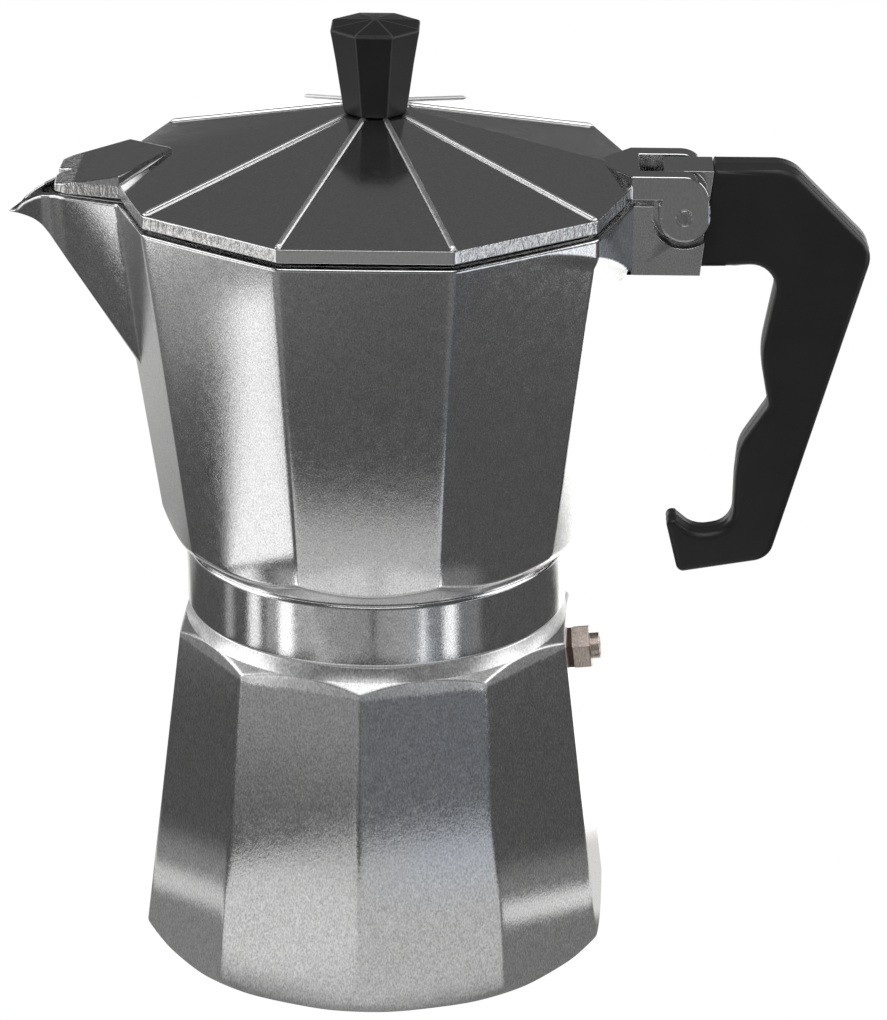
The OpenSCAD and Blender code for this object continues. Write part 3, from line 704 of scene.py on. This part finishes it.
# %% Finish
class Finish:
    """A material under construction: its tree, the place on the piece, and its shader."""

    def __init__(self, name, **constants):
        self.material = bpy.data.materials.new(name)
        self.material.use_nodes = True
        self.tree = self.material.node_tree
        self.shader = self.tree.nodes["Principled BSDF"]
        for key, value in constants.items():
            self.shader.inputs[key.replace("_", " ")].default_value = value
        self.place = self.node("ShaderNodeTexCoord", output="Object")
        parts = self.node("ShaderNodeSeparateXYZ", None, {"Vector": self.place}, None)
        self.x, self.y, self.z = (Value(self.tree, o) for o in parts.outputs)

    def node(self, kind, settings=None, inputs=None, output=0):
        """Any other node: one of its outputs, or the node itself where output is None."""
        if output is None:
            return node_in(self.tree, kind, settings, inputs).socket.node
        return node_in(self.tree, kind, settings, inputs, output)

    def noise(self, size_mm, detail=2.0, rough=0.5, stretch=None):
        """Soft cloudy noise from 0 to 1 whose lumps are about size_mm across."""
        place = self.place
        if stretch:
            place = self.node("ShaderNodeMapping", None, {"Vector": place, "Scale": stretch})
        return self.node("ShaderNodeTexNoise", None, {"Vector": place, "Scale": 1000.0 / size_mm,
                                                      "Detail": detail, "Roughness": rough})

    def ramp(self, value, *stops):
        """A colour for each value: the stops are pairs of a place from 0 to 1 and a colour."""
        node = self.tree.nodes.new("ShaderNodeValToRGB")
        while len(node.color_ramp.elements) < len(stops):
            node.color_ramp.elements.new(0.5)
        for element, (at, colour) in zip(node.color_ramp.elements, stops):
            element.position, element.color = at, (*colour, 1.0)
        feed(self.tree, node.inputs[0], value)
        return Value(self.tree, node.outputs[0])

    def bump(self, height_mm):
        """A normal that leans as a surface with this height in millimetres would."""
        return self.node("ShaderNodeBump", None, {"Height": height_mm, "Distance": MM,
                                                  "Strength": 1.0})

    def blend(self, factor, colour, other):
        """The first colour where factor is 0, and the other one where it is 1."""
        return self.node("ShaderNodeMix", {"data_type": "RGBA"},
                         {"Factor": factor, 6: colour, 7: (*other, 1.0)}, 2)

    def set(self, **sockets):
        """Feeds the shader's sockets and gives the material."""
        for key, value in sockets.items():
            feed(self.tree, self.shader.inputs[key.replace("_", " ")], value)
        return self.material


print("a finish can make:", [name for name in vars(Finish) if not name.startswith("_")])

# %% [markdown]
# ## Metal finishes
# Tumbled aluminium is bright but not a mirror: steel beads have pressed a fine ripple into it, about a
# third of a millimetre from crest to crest, over a slow waviness that the casting left. Reflections
# break up into grain, and stay lengthwise where the surface is still true.

# %% Aluminium
def aluminium(name, tone, rough, grain_mm, grain_depth, wave_depth=0.012, speck=0.0, sawn=None,
              turned=None, mottle=1.0):
    """Bead-tumbled aluminium. sawn is a height range in millimetres where the wall was cut and left
    with coarse upright chatter marks; turned is a height above which the lathe left a duller skin;
    mottle says how strongly the grain changes the colour."""
    skin = Finish(name, Metallic=1.0)
    grain = skin.noise(grain_mm, 2.0, 0.6, (1.0, 1.0, 0.5))
    slow = skin.noise(7.0, 2.0, 0.5, (1.0, 1.0, 0.5))
    patch_tone = skin.noise(2.2, 3.0, 0.6)
    height = (grain - 0.5) * grain_depth + (slow - 0.5) * wave_depth
    low, high = (tuple(min(1.0, c * f) for c in tone) for f in (1 - 0.38 * mottle, 1 + 0.18 * mottle))
    colour = skin.ramp(grain * 0.85 + patch_tone * 0.15, (0.32, low), (0.68, high))
    roughness = rough + (patch_tone - 0.5) * 0.12 + (grain - 0.5) * 0.12
    if speck:
        dots = skin.noise(0.9, 0.0, 0.0).step(0.74, 0.78)
        roughness = roughness + dots * speck
    if sawn:
        z_mm = skin.z / MM
        wall = z_mm.step(sawn[0], sawn[0] + 0.3) * (1 - z_mm.step(sawn[1] - 0.3, sawn[1]))
        wall = wall * abs(skin.x / MM).step(16.0, 18.0) * (1 - (skin.x / MM).step(50.0, 51.0))
        marks = skin.noise(0.9, 3.0, 0.6, (1.0, 1.0, 0.35))
        height = height + wall * (marks - 0.5) * 0.3
        roughness = roughness + wall * 0.08
        colour = skin.blend(wall * marks.step(0.45, 0.75), colour, (0.9, 0.9, 0.89))
    if turned:
        roughness = roughness + (skin.z / MM).step(turned - 0.6, turned + 0.6) * 0.24
    return skin.set(Base_Color=colour, Roughness=roughness, Normal=skin.bump(height))


cast_metal = aluminium("tumbled aluminium", (0.84, 0.84, 0.845), 0.115, 0.2, 0.012, 0.006)
boiler_metal = aluminium("polished boiler aluminium", (0.84, 0.84, 0.845), 0.11, 0.3, 0.013, 0.006,
                         turned=66.4)
lid_metal = aluminium("lid aluminium", (0.74, 0.735, 0.74), 0.13, 0.4, 0.003, 0.004, 0.05,
                      (lid_low - 0.5, lid_edge - 0.05), mottle=0.35)
# The ribs' metal: a paler, rougher copy of the lid's, whose brightness is a painted highlight.
highlit_rib_metal = aluminium("rib aluminium with painted highlight", (0.95, 0.95, 0.95), 0.36, 0.5, 0.02, 0.004,
                       mottle=0.4)
inner_metal = aluminium("bare casting inside", (0.70, 0.70, 0.70), 0.42, 0.6, 0.03)
sheet_metal = aluminium("pressed sheet aluminium", (0.78, 0.78, 0.78), 0.3, 0.5, 0.008)
nickel = aluminium("nickelled brass", (0.66, 0.57, 0.51), 0.32, 0.35, 0.008)
brass = aluminium("turned brass", (0.72, 0.54, 0.26), 0.28, 0.4, 0.01)
steel = aluminium("zinc plated steel", (0.66, 0.66, 0.67), 0.25, 0.4, 0.006)
print("metals:", len(bpy.data.materials))

# %% [markdown]
# ## Soft and moulded finishes
# The handle and the knob are a heat-proof plastic with a satin skin. Fine spark erosion in the mould
# leaves a faint grain, and the skin shines softly where it turns away.

# %% Plastic, rubber and fibre
def moulded(name, tone, rough, grain_mm, grain_depth, shine=0.5, highlit_edges=None):
    """A matt mould-grained skin. shine is its specular level. highlit_edges is the number of corners
    and the height in millimetres of a rim whose edges get a painted highlight, a paler line in the
    colour."""
    skin = Finish(name, Specular_IOR_Level=shine)
    grain = skin.noise(grain_mm, 3.0, 0.6)
    cloud = skin.noise(9.0, 2.0, 0.5)
    dark, light = (tuple(c * f for c in tone) for f in (0.85, 1.2))
    colour = skin.ramp(grain * 0.4 + cloud * 0.6, (0.3, dark), (0.7, light))
    roughness = rough + (cloud - 0.5) * 0.1 + (grain - 0.5) * 0.08
    # Painted highlight: paler lines along the corners and round the rim's edge stand in for the light
    # those edges catch.
    if highlit_edges:
        corners, rim = highlit_edges
        turns = skin.y.maths("ARCTAN2", skin.y, skin.x) * (corners / (2 * np.pi)) + 0.5
        away = 0.5 - abs(turns.maths("FRACT", turns) - 0.5)
        reach = (skin.x * skin.x + skin.y * skin.y) ** 0.5 / MM * (2 * np.pi / corners)
        corner_highlight = 1 - (away * reach).step(0.06, 0.26)
        rim_highlight = 1 - abs(skin.z / MM - rim).step(0.1, 0.3)
        line = (corner_highlight + rim_highlight * (1 - corner_highlight)) * (0.1 + 0.8 * grain)
        colour = skin.blend(line, colour, (0.13, 0.125, 0.125))
    return skin.set(Base_Color=colour, Roughness=roughness,
                    Normal=skin.bump((grain - 0.5) * grain_depth))


black_plastic = moulded("satin black plastic", (0.026, 0.0245, 0.0255), 0.38, 0.35, 0.004)
# The knob's corners and the rim 17.1 mm over its foot get painted highlight lines.
knob_plastic = moulded("satin knob plastic", (0.024, 0.0225, 0.0235), 0.46, 0.35, 0.004, 0.22,
                       (8, knob_z + 17.1))
silicone = moulded("silicone ring", (0.62, 0.60, 0.56), 0.5, 0.6, 0.004)
fibre = moulded("fibre washer", (0.13, 0.075, 0.06), 0.7, 0.5, 0.02)
print("finishes:", len(bpy.data.materials))

# %% [markdown]
# ## Giving each piece its finish
# New pieces ride on the body of the node that they stand for. Nodes that stay in view as they are
# take the finish of their material slot.

# %% Ride and finish
stands_for = [
    (boiler, "boiler", "base", "cast_aluminium", boiler_metal),
    (valve, "valve_body", "base", "nickel_brass", nickel),
    (chamber, "upper_chamber", "top", "cast_aluminium", cast_metal),
    (lug, None, "top", "cast_aluminium", cast_metal),
    (pin, "hinge_pin", "top", "steel", steel),
    (handle, "handle", "top", "black_plastic", black_plastic),
    (lid, "lid", "lid_unit", "lid_aluminium", lid_metal),
    (knob, "knob", "lid_unit", "black_plastic", knob_plastic),
    (ribs, None, "lid_unit", "lid_aluminium", highlit_rib_metal),
    (ears[0], None, "lid_unit", "lid_aluminium", lid_metal),
    (ears[1], None, "lid_unit", "lid_aluminium", lid_metal),
]
for piece, node, body, slot, finish in stands_for:
    piece.data.materials.clear()
    piece.data.materials.append(finish)
    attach(piece, body)
    if node:
        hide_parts(node)

kept_finish = {
    "valve_seal": fibre, "valve_plunger": brass, "valve_spring": steel, "valve_retainer": brass,
    "funnel": sheet_metal, "funnel_sieve": sheet_metal, "gasket": silicone, "filter_plate": sheet_metal,
    "coffee_column": inner_metal, "handle_screw": steel, "knob_insert": brass,
    "knob_washer": steel, "knob_screw": steel,
}
for node, finish in kept_finish.items():
    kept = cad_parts[node]
    kept.data.materials.clear()
    kept.data.materials.append(finish)
print("finished", len(stands_for), "new pieces and", len(kept_finish), "kept nodes")

# %% [markdown]
# ## Floor
# Bright metal looks like whatever stands round it, and these faces lean so that most of them mirror
# what lies on the floor. So the floor is a map of light: a pale sheet with the pot's own shade on it,
# pools of light beyond it, and a dark table. A glowing surface is used because it mirrors the same
# under any light. The lens doesn't see it.

# %% Floor
def patch(x, y, box, soft):
    """1 inside a box (x from, x to, y from, y to), 0 outside, with soft edges, all in millimetres."""
    x0, x1, y0, y1 = box
    across = x.step(x0 - soft, x0 + soft) * (1 - x.step(x1 - soft, x1 + soft))
    return across * y.step(y0 - soft, y0 + soft) * (1 - y.step(y1 - soft, y1 + soft))


pools = [  # x from, x to, y from, y to, soft edge, brightness
    (74.0, 88.0, -34.0, 70.0, 3.5, 0.6), (-87.0, -73.0, -34.0, 70.0, 3.5, 0.42),
    (-340.0, -258.0, -125.0, -45.0, 12.0, 0.15), (-140.0, 40.0, -640.0, -430.0, 20.0, 0.12),
    (45.0, 400.0, -700.0, -190.0, 25.0, 0.06), (30.0, 130.0, 40.0, 190.0, 10.0, 0.9),
    (44.0, 74.0, -4.0, 100.0, 4.0, 0.5), (-300.0, -110.0, -330.0, -135.0, 10.0, 0.06)]


def floor_light(x, y):
    """Brightness at a place in millimetres. The sheet's level is higher at its left, and it is shaded
    where the pot keeps the light off. The pools are added to it, then a pair far out at both sides, a
    wide one behind that is brighter at the right, the foot of the back wall, and the dark table."""
    far = (x * x + y * y) ** 0.5
    shade = 1 - 0.74 * (1 - far.step(125.0, 135.0)) * y.step(-64.0, -40.0)
    level = 0.46 + 0.16 * (1 - x.step(-45.0, -5.0)) * y.step(-150.0, -110.0)
    light = patch(x, y, (-106.0, 112.0, -182.0, 190.0), 8.0) * shade * level
    for x0, x1, y0, y1, soft, glow in pools:
        light = light + patch(x, y, (x0, x1, y0, y1), soft) * glow
    light = light + patch(abs(x), y, (330.0, 720.0, -330.0, -20.0), 15.0)
    light = light + patch(x, y, (-300.0, 300.0, 150.0, 460.0), 20.0) * (0.25 + x.step(-60.0, 60.0))
    table = 0.092 + far.step(200.0, 330.0) * (0.02 + 0.12 * (-x).step(-60.0, 160.0))
    return light + y.step(620.0, 700.0) * 1.6 + table


def pale_floor():
    """A flat square a little under the base, whose glow is the floor's light. It is a touch cooler at
    its front right."""
    reach = np.array([[-1500, -1500], [1500, -1500], [1500, 1500], [-1500, 1500]])
    points = np.column_stack([reach, np.full(4, -0.4)]) * MM
    mesh = bpy.data.meshes.new("pale_floor")
    mesh.from_pydata(points.tolist(), [], [(0, 1, 2, 3)])
    sheet = bpy.data.objects.new("pale_floor", mesh)
    bpy.context.scene.collection.objects.link(sheet)
    skin = Finish("pale floor")
    x, y = skin.x / MM, skin.y / MM
    cool = (x + 0.4 * y).step(-15.0, 15.0) * (1 - y.step(-150.0, -110.0))
    tint = skin.blend(cool, (1.0, 0.995, 0.985, 1.0), (0.93, 0.98, 1.06))
    glow = skin.node("ShaderNodeEmission", None, {"Color": tint, "Strength": floor_light(x, y)})
    skin.tree.links.new(glow.socket, skin.tree.nodes["Material Output"].inputs["Surface"])
    sheet.data.materials.append(skin.material)
    sheet.visible_camera = False
    sheet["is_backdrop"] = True
    return sheet


print("floor, mm across:", round(pale_floor().dimensions.x / MM))

# %% [markdown]
# ## Soft boxes
# A wide soft box hangs over the pot, one stands at each side, and one is high in front. The small
# panel card lies level, face up, left of the pot, where the chamber's left face mirrors it.

# %% Soft boxes
def soft_box(name, place, aim, size, glow):
    """A rectangular soft box, size in millimetres, that looks from place to aim. Its power is its
    face's brightness times pi times its area."""
    data = bpy.data.lights.new(name, "AREA")
    data.shape, data.size, data.size_y = "RECTANGLE", size[0] * MM, size[1] * MM
    data.energy = glow * np.pi * data.size * data.size_y
    box = bpy.data.objects.new(name, data)
    bpy.context.scene.collection.objects.link(box)
    box.location = Vector(place) * MM
    box.rotation_euler = (Vector(aim) * MM - box.location).to_track_quat("-Z", "Y").to_euler()
    box.visible_camera = False
    return box


soft_box("overhead box", (0, -160, 950), (0, -20, 0), (760, 560), 2.2)
soft_box("left box", (-680, -40, 360), (0, 0, 130), (620, 520), 1.9)
soft_box("right box", (680, 60, 360), (0, 0, 130), (620, 520), 1.9)
soft_box("front box", (0, -640, 760), (0, 0, 130), (700, 340), 1.4)
panel_card = soft_box("panel card", (-92.0, -57.0, 80), (-92.0, -57.0, 200), (106, 18), 1.05)
panel_card.rotation_euler = (np.pi, 0, np.radians(16.7))

# %% [markdown]
# ## Streaks on the waist
# The waist is a turned cylinder, which squeezes everything round it into upright streaks. Each streak
# and glow is a small upright card close to the waist. The lens sees a card mirrored where the waist
# faces half way between the card and the lens. So each card hangs out, in its own direction, from the
# point of the waist that faces half way to it. Turns are in degrees from straight ahead, and lens_turn
# is the lens's own.

# %% Streaks on the waist
lens_turn = 2.2
card_z, card_high = 68.5, 12
streaks = [("outer streak", -76.6, 6.0, 25, 1.0), ("left streak", -53.8, 6.6, 25, 1.1),
           ("soft streak", -97.8, 4.6, 25, 0.3), ("thin streak", 29.5, 2.2, 25, 0.7),
           ("right streak", 46.8, 6.0, 25, 1.0), ("left glow", -50.0, 27.0, 27, 0.28),
           ("mid-left glow", -17.0, 26.0, 27, 0.2), ("mid-right glow", 17.0, 26.0, 27, 0.22),
           ("right glow", 50.0, 26.0, 27, 0.12)]
for name, turn, width, away, glow in streaks:
    half, whole = np.radians((turn + lens_turn) / 2), np.radians(turn)
    start = np.array([np.sin(half), -np.cos(half)]) * waist_r
    place = start + np.array([np.sin(whole), -np.cos(whole)]) * away
    soft_box(name, (*place, card_z), (*start, 79), (width, card_high), glow)

# %% [markdown]
# ## Surroundings
# Beyond the boxes is a dark room. Its back is lit below the horizon, like the foot of a white wall.
# The lens sees plain white instead.

# %% Surroundings
def surroundings():
    """The room's brightness for each direction: a dark level that falls a little to the sides, plus a
    bright wall where the direction points back and down. Rays from the lens get plain white."""
    world = bpy.data.worlds.new("dark room with a white wall")
    world.use_nodes = True
    bpy.context.scene.world = world
    tree = world.node_tree
    tree.nodes.clear()
    way = node_in(tree, "ShaderNodeTexCoord", output="Generated")
    parts = node_in(tree, "ShaderNodeSeparateXYZ", None, {"Vector": way}).socket.node
    x = Value(tree, parts.outputs["X"])
    y, z = Value(tree, parts.outputs["Y"]), Value(tree, parts.outputs["Z"])
    wall = y.step(0.3, 0.6) * (1 - z.step(-0.03, 0.03))
    light = 0.105 - 0.04 * abs(x).step(0.3, 0.9) + wall * 1.5
    room = node_in(tree, "ShaderNodeBackground", None, {"Color": (1, 1, 1, 1), "Strength": light})
    plain = node_in(tree, "ShaderNodeBackground", None, {"Color": (1, 1, 1, 1), "Strength": 1.0})
    seen = node_in(tree, "ShaderNodeLightPath", output="Is Camera Ray")
    mix = node_in(tree, "ShaderNodeMixShader", None, {0: seen, 1: room, 2: plain})
    out = tree.nodes.new("ShaderNodeOutputWorld")
    tree.links.new(mix.socket, out.inputs["Surface"])


surroundings()
print("surroundings:", bpy.context.scene.world.name)
bpy.context.scene.view_settings.view_transform = "Standard"
bpy.context.scene.view_settings.look = "None"

# %% Sizes of both boxes
seen_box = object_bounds()
growth = [(b - a) / MM for cad, seen in zip(cad_box, seen_box) for a, b in zip(cad, seen)]
print("grew by (mm):", [round(g, 2) for g in growth])
